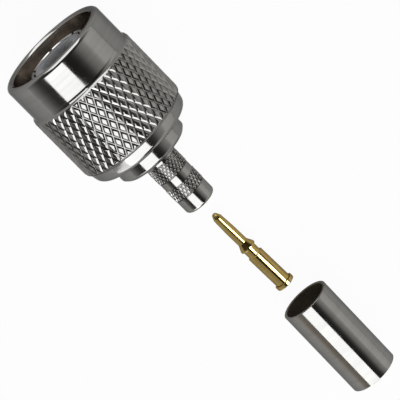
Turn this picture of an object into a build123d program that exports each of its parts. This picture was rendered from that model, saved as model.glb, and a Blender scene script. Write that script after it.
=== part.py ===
from build123d import *
import math
import os

# TNC cable plug for crimping, with its loose centre contact and crimp ferrule.
# The three lie in a row on a table. X runs along the plug's axis from its mouth toward
# the cable, and Z is up. All sizes are in millimetres.

# Coupling nut. Stations are measured along X from the front face of the nut.
NUT_LENGTH = 15.51
BAND_R = 7.02
BAND_EDGE = 0.56
BAND_END = 4.66
NUT_MOUTH_R = 6.05
NUT_MOUTH_CHAMFER = 0.28
MOUTH_DEPTH = 2.10
THREAD_CREST_R = 5.16
RELIEF_R = 5.70
RELIEF_LENGTH = 2.60
TAIL_LENGTH = 1.91
TAIL_EDGE_R = 6.68
TAIL_ROUND = 0.95
SHOULDER_R = 7.03
SHOULDER_LENGTH = 1.68
NUT_EDGE_CHAMFER = 0.15

# Diamond knurl of the nut
KNURL_START = 4.93
KNURL_END = NUT_LENGTH - TAIL_LENGTH
KNURL_R = 7.35
KNURL_DEPTH = 0.13
KNURL_RIDGE_R = 7.30
KNURL_COUNT = 46
KNURL_ROW_COUNT = 9
KNURL_FLAT_SHARE = 0.52

# Snap ring that holds the nut on the body
RING_THICKNESS = 0.75
RING_INSET = 2.21
RING_END = NUT_LENGTH - RING_INSET
RING_START = RING_END - RING_THICKNESS
RING_INNER_R = 4.20
RING_OUTER_R = 5.20
RING_GAP_DEG = 50.0
BODY_GROOVE_SLACK = 0.05
BODY_GROOVE_DEPTH = 0.67
NUT_GROOVE_SLACK = 0.15
NUT_GROOVE_R = 5.45

# Plug body: neck behind the gasket, rear flange and crimp stem
BODY_R = 4.79
NUT_CLEARANCE = 0.07
NUT_BORE_R = BODY_R + NUT_CLEARANCE
NUT_WALL = 1.76
NUT_BORE_START = RING_START - NUT_GROOVE_SLACK - NUT_WALL
RELIEF_END = NUT_BORE_START - (RELIEF_R - NUT_BORE_R)
THREAD_END = RELIEF_END - RELIEF_LENGTH
BODY_INSET = 1.20
BODY_START = RELIEF_END - BODY_INSET
BODY_EDGE = 0.20
FLANGE_REACH = 2.02
FLANGE_END = NUT_LENGTH + FLANGE_REACH
FLANGE_CHAMFER = 0.40
STEM_R = 2.10
STEM_LENGTH = 8.04
STEM_END = FLANGE_END + STEM_LENGTH
STEM_ROUND = 0.50
STEM_FILLET = 0.20
STEM_BORE_R = 1.50

# Fine diamond knurl on the stem, in two bands
FIRST_GRIP_START = FLANGE_END + 0.92
FIRST_GRIP_LENGTH = 2.20
SECOND_GRIP_START = FLANGE_END + 4.17
SECOND_GRIP_LENGTH = 1.80
GRIP_R = 2.15
GRIP_DEPTH = 0.11
GRIP_COUNT = 28
GRIP_PITCH = 0.40
GRIP_FLAT_SHARE = 0.35

# Sealing gasket between the outer contact's shoulder and the body
GASKET_R = 5.00
GASKET_THICKNESS = 1.10

# Slotted outer contact, pressed into the front of the body
CONTACT_START = 1.00
CONTACT_R = 4.05
CONTACT_SHOULDER = BODY_START - GASKET_THICKNESS
CONTACT_SEAT_R = 3.85
CONTACT_SEAT_LENGTH = 2.40
CONTACT_END = BODY_START + CONTACT_SEAT_LENGTH
CONTACT_BORE_R = 3.50
CONTACT_LIP = 0.12
SLOT_COUNT = 6
SLOT_WIDTH = 0.40
SLOT_ROOT = 0.90
SLOT_END = CONTACT_SHOULDER - SLOT_ROOT
SLOT_ANGLE = 30.0

# Insulator: free inside the spring fingers, seated in the body
INSULATOR_START = 1.10
INSULATOR_FRONT_R = 3.40
INSULATOR_STEP = CONTACT_SHOULDER + 0.50
INSULATOR_SEAT = 2.53
INSULATOR_END = FLANGE_END - INSULATOR_SEAT
INSULATOR_EDGE = 0.10
SOCKET_R = 2.45
SOCKET_DEPTH = 5.10
SOCKET_END = INSULATOR_START + SOCKET_DEPTH
PIN_HOLE_R = 0.70
PIN_HOLE_LENGTH = 1.20
PIN_HOLE_END = SOCKET_END + PIN_HOLE_LENGTH
BARREL_HOLE_R = 1.08
COLLAR_HOLE_R = 1.28
COLLAR_HOLE_DEPTH = 0.65
BARREL_HOLE_END = INSULATOR_END - COLLAR_HOLE_DEPTH

# Loose centre contact. Stations are measured from its tip.
PIN_TIP_R = 0.25
PIN_CONE_END = 0.68
PIN_CONE_R = 0.573
PIN_TAPER_END = 3.01
PIN_R = 0.658
FLARE_START = 4.99
FLARE_CREST = 5.77
FLARE_END = 5.98
FLARE_R = 1.04
NECK_R = 0.85
NECK_END = 7.02
BARREL_R = 1.03
BARREL_CHAMFER = 0.12
COLLAR_START = 11.93
COLLAR_R = 1.24
COLLAR_EDGE = 0.12
PIN_LENGTH = 12.46
WIRE_HOLE_R = 0.50
WIRE_HOLE_DEPTH = 5.50
WIRE_HOLE_CHAMFER = 0.08

# Loose crimp ferrule
FERRULE_R = 3.175
FERRULE_BORE_R = 2.78
FERRULE_LENGTH = 12.70
FERRULE_EDGE = 0.06

# Layout on the table: the gaps along the row, and how far the middle of each loose
# piece lies beside the plug's axis and turns from it
TIP_GAP = 4.13
PIN_ASIDE = 0.14
PIN_TURN_DEG = 1.75
FERRULE_GAP = 2.45
FERRULE_ASIDE = 0.44
FERRULE_TURN_DEG = -0.85

# The loose contact lies on its flare and its collar, so its nose dips a little.
PIN_DIP = math.atan((COLLAR_R - FLARE_R) / (COLLAR_START - FLARE_CREST))
PIN_HALF = PIN_LENGTH * math.cos(PIN_DIP) / 2
PIN_MIDDLE_X = STEM_END + TIP_GAP + PIN_HALF
PIN_TIP_Z = FLARE_R * math.cos(PIN_DIP) - FLARE_CREST * math.sin(PIN_DIP)
FERRULE_MIDDLE_X = PIN_MIDDLE_X + PIN_HALF + FERRULE_GAP + FERRULE_LENGTH / 2
FERRULE_TURN = math.radians(abs(FERRULE_TURN_DEG))
FERRULE_REACH = (FERRULE_LENGTH / 2 - FERRULE_EDGE) * math.cos(FERRULE_TURN)
FERRULE_SPREAD = (FERRULE_R - FERRULE_EDGE) * math.sin(FERRULE_TURN)
OVERALL = FERRULE_MIDDLE_X + FERRULE_REACH + FERRULE_SPREAD + FERRULE_EDGE

AXIS_CUT = 1.0


def turned(corners):
    """Solid turned about X from corners of (station, radius) or (station, radius, round)."""
    points = [Vector(corner[0], 0, corner[1]) for corner in corners]
    profile = make_face(Polyline(*points, close=True))
    for corner in corners:
        if len(corner) == 3:
            at = Vector(corner[0], 0, corner[1])
            vertex = min(profile.vertices(), key=lambda v: (Vector(*v) - at).length)
            profile = fillet(vertex, corner[2])
    return revolve(profile, Axis.X, 360)


def polar(x, radius, angle):
    """Point at a station and an angle about X, counted from +Y toward +Z."""
    return Vector(x, radius * math.cos(angle), radius * math.sin(angle))


def quad(*points):
    """Flat face through three or more corners."""
    return Face(Wire.make_polygon(points, close=True))


def flat_half_angle(half_row, half_step, crest, valley, flat_length):
    """Half angle of a diamond's flat top that keeps its four flanks flat."""
    slope = (crest - valley) / (half_row - flat_length)
    rise = 1 / (slope * flat_length + crest)
    side = (1 - rise * valley * math.cos(half_step)) / (valley * math.sin(half_step))
    return math.atan((1 - rise * crest) / (side * crest))


def knurled_drum(start, half_row, rows, count, crest, depth, flat_share):
    """Solid drum with a raised diamond knurl, cut square through a row at each end."""
    valley = crest - depth
    step = math.pi / count
    top = flat_share * half_row
    reach = flat_half_angle(half_row, step, crest, valley, top)
    corner = crest / math.cos(reach)

    def node(row, column):
        return polar(start + row * half_row, valley, column * step)

    faces = []
    for row in range(rows + 1):
        for column in range(row % 2, 2 * count, 2):
            x = start + row * half_row
            angle = column * step
            left = polar(x, corner, angle - reach)
            right = polar(x, corner, angle + reach)
            ends = []
            if row > 0:
                ends.append((polar(x - top, crest, angle), node(row - 1, column)))
            if row < rows:
                ends.append((polar(x + top, crest, angle), node(row + 1, column)))
            for tip, foot in ends:
                faces.append(quad(tip, left, node(row, column - 1), foot))
                faces.append(quad(tip, right, node(row, column + 1), foot))
            faces.append(quad(left, *[tip for tip, _ in ends[:1]], right, *[tip for tip, _ in ends[1:]]))
    for row in (0, rows):
        rim = []
        for column in range(row % 2, 2 * count, 2):
            angle = column * step
            x = start + row * half_row
            rim += [polar(x, corner, angle - reach), polar(x, corner, angle + reach), node(row, column + 1)]
        faces.append(quad(*rim))
    return Solid(Shell(faces))


def nut_outside():
    """Turned outside of the nut, relieved where the knurled drum fills it."""
    core = KNURL_R - 2 * KNURL_DEPTH
    return turned([
        (0, 0),
        (0, BAND_R, BAND_EDGE),
        (BAND_END, BAND_R),
        (KNURL_START, KNURL_RIDGE_R),
        (KNURL_START, core),
        (KNURL_END, core),
        (KNURL_END, KNURL_RIDGE_R),
        (NUT_LENGTH - SHOULDER_LENGTH, SHOULDER_R),
        (NUT_LENGTH, TAIL_EDGE_R, TAIL_ROUND),
        (NUT_LENGTH, 0),
    ])


def nut_inside():
    """Space inside the nut: mouth, thread bore, gasket relief, snap ring groove, tail bore."""
    groove_start = RING_START - NUT_GROOVE_SLACK
    groove_end = RING_END + NUT_GROOVE_SLACK
    return turned([
        (-AXIS_CUT, 0),
        (-AXIS_CUT, NUT_MOUTH_R + NUT_MOUTH_CHAMFER),
        (0, NUT_MOUTH_R + NUT_MOUTH_CHAMFER),
        (NUT_MOUTH_CHAMFER, NUT_MOUTH_R),
        (MOUTH_DEPTH, NUT_MOUTH_R),
        (MOUTH_DEPTH + NUT_MOUTH_R - THREAD_CREST_R, THREAD_CREST_R),
        (THREAD_END, THREAD_CREST_R),
        (THREAD_END, RELIEF_R),
        (RELIEF_END, RELIEF_R),
        (NUT_BORE_START, NUT_BORE_R),
        (groove_start, NUT_BORE_R),
        (groove_start, NUT_GROOVE_R),
        (groove_end, NUT_GROOVE_R),
        (groove_end, NUT_BORE_R),
        (NUT_LENGTH - NUT_EDGE_CHAMFER, NUT_BORE_R),
        (NUT_LENGTH, NUT_BORE_R + NUT_EDGE_CHAMFER),
        (NUT_LENGTH + AXIS_CUT, NUT_BORE_R + NUT_EDGE_CHAMFER),
        (NUT_LENGTH + AXIS_CUT, 0),
    ])


def coupling_nut():
    """Knurled nut that screws onto the jack."""
    half_row = (KNURL_END - KNURL_START) / KNURL_ROW_COUNT
    drum = knurled_drum(
        KNURL_START, half_row, KNURL_ROW_COUNT, KNURL_COUNT, KNURL_R, KNURL_DEPTH, KNURL_FLAT_SHARE
    )
    return nut_outside() + drum - nut_inside()


def body_outside():
    """Turned outside of the body: neck in the nut, snap ring groove, flange and crimp stem."""
    groove_r = BODY_R - BODY_GROOVE_DEPTH
    return turned([
        (BODY_START, 0),
        (BODY_START, BODY_R - BODY_EDGE),
        (BODY_START + BODY_EDGE, BODY_R),
        (RING_START - BODY_GROOVE_SLACK, BODY_R),
        (RING_START - BODY_GROOVE_SLACK, groove_r),
        (RING_END + BODY_GROOVE_SLACK, groove_r),
        (RING_END + BODY_GROOVE_SLACK, BODY_R),
        (FLANGE_END - FLANGE_CHAMFER, BODY_R),
        (FLANGE_END, BODY_R - FLANGE_CHAMFER),
        (FLANGE_END, STEM_R, STEM_FILLET),
        (STEM_END, STEM_R, STEM_ROUND),
        (STEM_END, 0),
    ])


def body_inside():
    """Bores of the body for the outer contact, the insulator and the cable's core."""
    return turned([
        (BODY_START - AXIS_CUT, 0),
        (BODY_START - AXIS_CUT, CONTACT_SEAT_R),
        (CONTACT_END, CONTACT_SEAT_R),
        (CONTACT_END, CONTACT_BORE_R),
        (INSULATOR_END, CONTACT_BORE_R),
        (INSULATOR_END, STEM_BORE_R),
        (STEM_END + AXIS_CUT, STEM_BORE_R),
        (STEM_END + AXIS_CUT, 0),
    ])


def connector_body():
    """Body with the crimp stem that the cable's braid is squeezed onto."""
    body = body_outside()
    bands = ((FIRST_GRIP_START, FIRST_GRIP_LENGTH), (SECOND_GRIP_START, SECOND_GRIP_LENGTH))
    for start, length in bands:
        rows = max(2, 2 * round(length / GRIP_PITCH / 2))
        body += knurled_drum(
            start, length / rows, rows, GRIP_COUNT, GRIP_R, GRIP_DEPTH, GRIP_FLAT_SHARE
        )
    return body - body_inside()


def retaining_ring():
    """Open snap ring, caught in the grooves of the body and the nut."""
    ring = turned([
        (RING_START, RING_INNER_R),
        (RING_START, RING_OUTER_R),
        (RING_END, RING_OUTER_R),
        (RING_END, RING_INNER_R),
    ])
    half = math.radians(RING_GAP_DEG / 2)
    far = 2 * RING_OUTER_R
    wedge = quad(
        Vector(RING_START - AXIS_CUT, 0, 0),
        polar(RING_START - AXIS_CUT, far, math.pi / 2 - half),
        polar(RING_START - AXIS_CUT, far, math.pi / 2 + half),
    )
    return ring - extrude(wedge, RING_END - RING_START + 2 * AXIS_CUT, dir=(1, 0, 0))


def outer_contact():
    """Spring sleeve that grips the jack's barrel, slotted into fingers."""
    sleeve = turned([
        (CONTACT_START, CONTACT_BORE_R + CONTACT_LIP),
        (CONTACT_START, CONTACT_R - CONTACT_LIP),
        (CONTACT_START + CONTACT_LIP, CONTACT_R),
        (CONTACT_SHOULDER, CONTACT_R),
        (CONTACT_SHOULDER, CONTACT_SEAT_R),
        (CONTACT_END, CONTACT_SEAT_R),
        (CONTACT_END, CONTACT_BORE_R),
        (CONTACT_START + CONTACT_LIP, CONTACT_BORE_R),
    ])
    length = SLOT_END - CONTACT_START + AXIS_CUT
    slot = Pos(SLOT_END - length / 2, 0, CONTACT_R) * Box(length, SLOT_WIDTH, 2 * CONTACT_R)
    for index in range(SLOT_COUNT):
        angle = SLOT_ANGLE - 90 + index * 360 / SLOT_COUNT
        sleeve -= Rot(angle, 0, 0) * slot
    return sleeve


def gasket():
    """Flat silicone ring that seals against the jack's rim."""
    return turned([
        (CONTACT_SHOULDER, CONTACT_SEAT_R),
        (CONTACT_SHOULDER, GASKET_R),
        (BODY_START, GASKET_R),
        (BODY_START, CONTACT_SEAT_R),
    ])


def insulator():
    """Dielectric with a socket for the jack's post and a stepped hole for the contact."""
    return turned([
        (INSULATOR_START, SOCKET_R),
        (INSULATOR_START, INSULATOR_FRONT_R - INSULATOR_EDGE),
        (INSULATOR_START + INSULATOR_EDGE, INSULATOR_FRONT_R),
        (INSULATOR_STEP, INSULATOR_FRONT_R),
        (INSULATOR_STEP, CONTACT_BORE_R),
        (INSULATOR_END, CONTACT_BORE_R),
        (INSULATOR_END, COLLAR_HOLE_R),
        (BARREL_HOLE_END, COLLAR_HOLE_R),
        (BARREL_HOLE_END, BARREL_HOLE_R),
        (PIN_HOLE_END, BARREL_HOLE_R),
        (PIN_HOLE_END, PIN_HOLE_R),
        (SOCKET_END, PIN_HOLE_R),
        (SOCKET_END, SOCKET_R),
    ])


def center_contact():
    """Loose pin with a pointed nose, a snap flare, a crimp barrel and a collar."""
    hole_floor = PIN_LENGTH - WIRE_HOLE_DEPTH
    return turned([
        (0, 0),
        (0, PIN_TIP_R),
        (PIN_CONE_END, PIN_CONE_R, 0.5),
        (PIN_TAPER_END, PIN_R),
        (FLARE_START, PIN_R),
        (FLARE_CREST, FLARE_R),
        (FLARE_END, FLARE_R),
        (FLARE_END, NECK_R),
        (NECK_END, NECK_R),
        (NECK_END + BARREL_CHAMFER, BARREL_R),
        (COLLAR_START, BARREL_R),
        (COLLAR_START, COLLAR_R),
        (PIN_LENGTH, COLLAR_R, COLLAR_EDGE),
        (PIN_LENGTH, WIRE_HOLE_R + WIRE_HOLE_CHAMFER),
        (PIN_LENGTH - WIRE_HOLE_CHAMFER, WIRE_HOLE_R),
        (hole_floor, WIRE_HOLE_R),
        (hole_floor - WIRE_HOLE_R / 2, 0),
    ])


def crimp_ferrule():
    """Plain tube that squeezes the braid onto the stem."""
    return turned([
        (0, FERRULE_BORE_R + FERRULE_EDGE),
        (0, FERRULE_R, FERRULE_EDGE),
        (FERRULE_LENGTH, FERRULE_R, FERRULE_EDGE),
        (FERRULE_LENGTH, FERRULE_BORE_R + FERRULE_EDGE),
        (FERRULE_LENGTH - FERRULE_EDGE, FERRULE_BORE_R),
        (FERRULE_EDGE, FERRULE_BORE_R),
    ])


plug_place = Pos(-OVERALL / 2, 0, KNURL_R)
pin_middle = Pos(PIN_MIDDLE_X - OVERALL / 2, PIN_ASIDE, PIN_TIP_Z) * Rot(0, 0, PIN_TURN_DEG)
pin_place = pin_middle * Pos(-PIN_HALF, 0, 0) * Rot(0, -math.degrees(PIN_DIP), 0)
ferrule_middle = Pos(FERRULE_MIDDLE_X - OVERALL / 2, FERRULE_ASIDE, FERRULE_R)
ferrule_place = ferrule_middle * Rot(0, 0, FERRULE_TURN_DEG) * Pos(-FERRULE_LENGTH / 2, 0, 0)

pieces = {
    "coupling_nut": plug_place * coupling_nut(),
    "connector_body": plug_place * connector_body(),
    "retaining_ring": plug_place * retaining_ring(),
    "outer_contact": plug_place * outer_contact(),
    "gasket": plug_place * gasket(),
    "insulator": plug_place * insulator(),
    "center_contact": pin_place * center_contact(),
    "crimp_ferrule": ferrule_place * crimp_ferrule(),
}

os.makedirs("parts", exist_ok=True)
for name, piece in pieces.items():
    solids = piece.solids()
    box = piece.bounding_box()
    print(name, len(solids), "solid", round(piece.volume, 3), "mm3", box.min, box.max)
    export_step(piece, f"parts/{name}.step")
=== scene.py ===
"""Cable plug with a knurled coupling nut, laid out with its loose contact and ferrule."""

import logging
import math
from abc import ABC, abstractmethod
from collections.abc import Callable, Sequence
from dataclasses import dataclass
from enum import Enum
from typing import ClassVar

import bmesh
import bpy
from mathutils import Matrix, Vector


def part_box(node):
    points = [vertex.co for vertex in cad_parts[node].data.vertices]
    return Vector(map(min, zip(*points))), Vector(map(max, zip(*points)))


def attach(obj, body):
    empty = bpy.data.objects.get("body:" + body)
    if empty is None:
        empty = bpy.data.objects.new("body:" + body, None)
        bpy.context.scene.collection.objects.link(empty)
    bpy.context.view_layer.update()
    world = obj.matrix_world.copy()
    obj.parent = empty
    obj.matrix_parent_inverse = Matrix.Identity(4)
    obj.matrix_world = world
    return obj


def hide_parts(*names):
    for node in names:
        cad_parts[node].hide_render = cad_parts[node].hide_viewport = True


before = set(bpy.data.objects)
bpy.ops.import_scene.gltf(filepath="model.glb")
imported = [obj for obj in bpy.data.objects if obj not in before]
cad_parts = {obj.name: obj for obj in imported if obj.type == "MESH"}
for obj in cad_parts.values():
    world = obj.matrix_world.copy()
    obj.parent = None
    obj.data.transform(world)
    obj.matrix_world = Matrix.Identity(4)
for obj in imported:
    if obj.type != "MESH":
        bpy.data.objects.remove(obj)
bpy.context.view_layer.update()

MM = 0.001
LAP = 0.01  # how far shells and finishes of one piece reach past each other, in millimetres
log = logging.getLogger("cable_plug")
Color = tuple[float, float, float]
WHITE: Color = (1.0, 1.0, 1.0)
NOISE_SPAN = (0.3, 0.7)  # where most values of a noise lie


class Body(Enum):
    """Rigid bodies that the pieces ride on."""

    PLUG = "plug_body"
    NUT = "nut"


class Loose(Enum):
    """Loose pieces of the row that a lamp can be set for."""

    PIN = "pin"
    FERRULE = "ferrule"


@dataclass(frozen=True)
class Corner:
    """One corner of a turned outline, in millimetres.

    Args:
        x: Station along the piece's axis.
        r: Radius at the station.
        ease: Length that a rounding takes off each neighbouring edge.
        steps: Number of segments in the rounding.
    """

    x: float
    r: float
    ease: float = 0.0
    steps: int = 3


def outline(corners: Sequence[Corner]) -> bmesh.types.BMesh:
    """Draw a closed outline in the XZ plane and round its eased corners.

    Args:
        corners: Corners in order around the outline.

    Returns:
        A bmesh that holds one face.
    """
    bm = bmesh.new()
    verts = [bm.verts.new((c.x * MM, 0.0, c.r * MM)) for c in corners]
    bm.faces.new(verts)
    for vert, corner in zip(verts, corners):
        if corner.ease > 0.0:
            bmesh.ops.bevel(
                bm, geom=[vert], offset=corner.ease * MM, offset_type="OFFSET",
                segments=corner.steps, profile=0.5, affect="VERTICES", material=-1,
            )
    return bm


def turned(corners: Sequence[Corner], steps: int = 128) -> bmesh.types.BMesh:
    """Turn a closed outline about the X axis.

    Args:
        corners: Corners in order around the outline.
        steps: Number of segments in the full turn.

    Returns:
        A bmesh with the closed turned shell.
    """
    bm = outline(corners)
    bmesh.ops.delete(bm, geom=list(bm.faces), context="FACES_ONLY")
    on_axis = [e for e in bm.edges if all(abs(v.co.z) < 1e-9 for v in e.verts)]
    bmesh.ops.delete(bm, geom=on_axis, context="EDGES")
    bmesh.ops.spin(
        bm, geom=list(bm.verts) + list(bm.edges), cent=(0, 0, 0), axis=(1, 0, 0),
        dvec=(0, 0, 0), angle=math.tau, steps=steps, use_merge=True,
    )
    return mended(bm)


def swept(corners: Sequence[Corner], start: float, sweep: float, steps: int) -> bmesh.types.BMesh:
    """Turn a closed outline about X through part of a turn, with closed ends.

    Args:
        corners: Corners in order around the outline.
        start: Angle from the top, in radians, where the sweep begins.
        sweep: Angle of the sweep, in radians.
        steps: Number of segments in the sweep.

    Returns:
        A bmesh with the closed shell.
    """
    bm = outline(corners)
    bmesh.ops.rotate(bm, verts=bm.verts, cent=(0, 0, 0), matrix=Matrix.Rotation(start, 3, "X"))
    bmesh.ops.spin(
        bm, geom=list(bm.verts) + list(bm.edges) + list(bm.faces), cent=(0, 0, 0),
        axis=(1, 0, 0), dvec=(0, 0, 0), angle=sweep, steps=steps, use_merge=False,
    )
    return mended(bm)


def mended(bm: bmesh.types.BMesh) -> bmesh.types.BMesh:
    """Merge doubles and turn every face outward.

    Args:
        bm: The bmesh to mend in place.

    Returns:
        The same bmesh.
    """
    bmesh.ops.remove_doubles(bm, verts=bm.verts, dist=1e-7)
    bmesh.ops.dissolve_degenerate(bm, edges=bm.edges, dist=1e-8)
    bmesh.ops.recalc_face_normals(bm, faces=bm.faces)
    return bm


def joined(parts: Sequence[bmesh.types.BMesh]) -> bmesh.types.BMesh:
    """Gather several shells in one bmesh.

    Args:
        parts: The shells, which are freed.

    Returns:
        A bmesh that holds them all.
    """
    whole = bmesh.new()
    for part in parts:
        mesh = bpy.data.meshes.new("shell")
        part.to_mesh(mesh)
        part.free()
        whole.from_mesh(mesh)
        bpy.data.meshes.remove(mesh)
    return whole


@dataclass(frozen=True)
class DiamondKnurl:
    """Raised diamond knurl on a drum about the X axis, in millimetres.

    Args:
        start: Station of the first row.
        length: Length of the band.
        rows: Number of half rows along the band.
        count: Number of diamonds round the drum.
        crest: Radius of the diamonds' tops.
        depth: Depth of the grooves.
        floor: Half of the width of the grooves' flat floor.
        flank: Width of a diamond's sloping flank.
        ease: Width of the rounding on the diamonds' edges.
    """

    start: float
    length: float
    rows: int
    count: int
    crest: float
    depth: float
    floor: float
    flank: float
    ease: float

    @property
    def end(self) -> float:
        """Station where the band ends."""
        return self.start + self.length

    @property
    def core(self) -> float:
        """Radius of the drum's inside."""
        return self.crest - 2.0 * self.depth

    def seat(self, rim: float, ease: float = 0.0) -> list[Corner]:
        """Relief in a turned shell that the drum fills.

        Args:
            rim: Radius of the shell on both sides of the relief.
            ease: Rounding of the relief's rims.

        Returns:
            The relief's corners, in order along the axis.
        """
        first = self.start + LAP
        last = self.end - LAP
        return [
            Corner(first, rim, ease, 2),
            Corner(first, self.core + LAP),
            Corner(last, self.core + LAP),
            Corner(last, rim, ease, 2),
        ]

    def wrap(self, bm: bmesh.types.BMesh) -> None:
        """Wrap a flat unit grid round the drum and close its seam.

        Args:
            bm: The bmesh that holds the grid.
        """
        valley = self.crest - self.depth
        for vert in bm.verts:
            along = vert.co.x + 0.5
            angle = (vert.co.y + 0.5) * math.tau
            vert.co = Vector((
                (self.start + along * self.length) * MM,
                valley * math.cos(angle) * MM,
                valley * math.sin(angle) * MM,
            ))
        bmesh.ops.remove_doubles(bm, verts=bm.verts, dist=1e-7)

    def diamonds(self, bm: bmesh.types.BMesh) -> None:
        """Turn the wrapped grid's squares into diamonds.

        Args:
            bm: The bmesh that holds the wrapped grid.
        """
        half_row = self.length / self.rows
        step = math.pi / self.count

        def parity(vert: bmesh.types.BMVert) -> int:
            """Whether a grid point is a groove crossing (1) or a diamond's middle (0)."""
            row = round((vert.co.x / MM - self.start) / half_row)
            column = round(math.atan2(vert.co.z, vert.co.y) / step)
            return (row + column) % 2

        crossings = [v for v in bm.verts if parity(v) == 1]
        bmesh.ops.connect_verts(bm, verts=crossings)
        middles = [v for v in bm.verts if parity(v) == 0]
        bmesh.ops.dissolve_verts(bm, verts=[v for v in middles if not v.is_boundary])
        spare = [
            e for e in bm.edges
            if not e.is_boundary and any(v.is_boundary and parity(v) == 0 for v in e.verts)
        ]
        bmesh.ops.dissolve_edges(bm, edges=spare, use_verts=False)

    def build(self) -> bmesh.types.BMesh:
        """Build the knurled drum as a closed shell.

        Returns:
            The bmesh of the drum.
        """
        bm = bmesh.new()
        bmesh.ops.create_grid(bm, x_segments=self.rows, y_segments=2 * self.count, size=0.5)
        self.wrap(bm)
        self.diamonds(bm)
        bmesh.ops.recalc_face_normals(bm, faces=bm.faces)
        tops = list(bm.faces)
        outward = sum(f.normal.dot(Vector((0.0, *f.calc_center_median().yz))) for f in tops)
        if outward < 0.0:
            bmesh.ops.reverse_faces(bm, faces=tops)
        for width, rise in ((self.floor, 0.0), (self.flank, self.depth)):
            bmesh.ops.inset_individual(
                bm, faces=tops, thickness=width * MM, depth=rise * MM, use_even_offset=True,
            )
        if self.ease > 0.0:
            edges = {e for f in tops for e in f.edges}
            bmesh.ops.bevel(
                bm, geom=list(edges), offset=self.ease * MM, offset_type="OFFSET",
                segments=3, profile=0.5, affect="EDGES", material=-1,
            )
        rims = [e for e in bm.edges if e.is_boundary]
        grown = bmesh.ops.extrude_edge_only(bm, edges=rims)["geom"]
        for vert in (g for g in grown if isinstance(g, bmesh.types.BMVert)):
            scale = self.core * MM / vert.co.yz.length
            vert.co.y *= scale
            vert.co.z *= scale
        inner = [g for g in grown if isinstance(g, bmesh.types.BMEdge) and g.is_boundary]
        bmesh.ops.bridge_loops(bm, edges=inner)
        return mended(bm)


@dataclass(frozen=True)
class InnerThread:
    """Ridge of an inside screw thread about the X axis, in millimetres.

    Args:
        start: Station where the thread's first turn begins.
        end: Station where its last turn ends.
        crest: Radius of the ridge's crest.
        root: Radius of the groove's floor.
        pitch: Advance in one turn.
        cone: Sum of station and radius on the lead-in cone.
        foot: Half of the width of the ridge's foot, as a share of the pitch.
        flat: Half of the width of its crest, as a share of the pitch.
        sunk: How far the foot reaches into the nut's wall.
        steps: Number of segments in one turn.
    """

    start: float
    end: float
    crest: float
    root: float
    pitch: float
    cone: float
    foot: float = 0.42
    flat: float = 0.10
    sunk: float = 0.04
    steps: int = 96

    def build(self) -> bmesh.types.BMesh:
        """Build the ridge as a closed helical shell.

        Returns:
            The bmesh of the ridge.
        """
        deep = self.root + self.sunk
        half_foot = self.foot * self.pitch
        half_crest = self.flat * self.pitch
        bm = outline([
            Corner(self.start - half_foot, deep),
            Corner(self.start - half_crest, self.crest, 0.03, 2),
            Corner(self.start + half_crest, self.crest, 0.03, 2),
            Corner(self.start + half_foot, deep),
        ])
        turns = (self.end - self.start) / self.pitch
        steps = round(turns * self.steps)
        bmesh.ops.spin(
            bm, geom=list(bm.verts) + list(bm.edges) + list(bm.faces), cent=(0, 0, 0),
            axis=(1, 0, 0), dvec=(turns * self.pitch * MM / steps, 0, 0),
            angle=turns * math.tau, steps=steps, use_merge=False,
        )
        mended(bm)
        for vert in bm.verts:
            radius = vert.co.yz.length
            least = self.cone * MM - vert.co.x
            if radius < least:
                scale = min(least, deep * MM) / radius
                vert.co.y *= scale
                vert.co.z *= scale
        return bm


def feed(
    tree: bpy.types.NodeTree, socket: bpy.types.NodeSocket, value: bpy.types.NodeSocket | float | Color
) -> None:
    """Link a socket to another one, or give it a plain number or colour.

    Args:
        tree: Node tree that holds the socket.
        socket: Input socket to feed.
        value: Socket, number or colour that it gets.
    """
    if isinstance(value, bpy.types.NodeSocket):
        tree.links.new(value, socket)
    elif isinstance(value, tuple):
        socket.default_value = (*value, 1.0)
    else:
        socket.default_value = value


def worked(
    tree: bpy.types.NodeTree, operation: str, *values: bpy.types.NodeSocket | float
) -> bpy.types.NodeSocket:
    """Work out a number from others.

    Args:
        tree: Node tree to add to.
        operation: What the Math node does.
        values: Sockets or numbers that it reads, in order.

    Returns:
        The socket with the result.
    """
    node = tree.nodes.new("ShaderNodeMath")
    node.operation = operation
    for socket, value in zip(node.inputs, values):
        feed(tree, socket, value)
    return node.outputs[0]


def mapped(
    tree: bpy.types.NodeTree, value: bpy.types.NodeSocket, from_low: float, from_high: float,
    to_low: float = 0.0, to_high: bpy.types.NodeSocket | float = 1.0,
) -> bpy.types.NodeSocket:
    """Map a value from one range to another.

    Args:
        tree: Node tree to add to.
        value: Socket that gives the value.
        from_low: Low end of the incoming range.
        from_high: High end of the incoming range.
        to_low: Result at the low end.
        to_high: Result at the high end.

    Returns:
        The socket with the result.
    """
    node = tree.nodes.new("ShaderNodeMapRange")
    for name, number in (
        ("Value", value), ("From Min", from_low), ("From Max", from_high),
        ("To Min", to_low), ("To Max", to_high),
    ):
        feed(tree, node.inputs[name], number)
    return node.outputs["Result"]


def blended(
    tree: bpy.types.NodeTree, share: bpy.types.NodeSocket,
    first: bpy.types.NodeSocket | Color, second: bpy.types.NodeSocket | Color,
) -> bpy.types.NodeSocket:
    """Blend two colours by a mask.

    Args:
        tree: Node tree to add to.
        share: Socket that gives the mask.
        first: Colour where the mask is 0.
        second: Colour where the mask is 1.

    Returns:
        The socket with the blended colour.
    """
    node = tree.nodes.new("ShaderNodeMix")
    node.data_type = "RGBA"
    feed(tree, node.inputs["Factor"], share)
    feed(tree, node.inputs[6], first)
    feed(tree, node.inputs[7], second)
    return node.outputs[2]


def started(name: str) -> tuple[bpy.types.Material, bpy.types.NodeTree, bpy.types.Node]:
    """Start a material.

    Args:
        name: Name of the material.

    Returns:
        The material, its node tree and its Principled BSDF.
    """
    material = bpy.data.materials.new(name)
    material.use_nodes = True
    tree = material.node_tree
    return material, tree, tree.nodes["Principled BSDF"]


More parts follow.
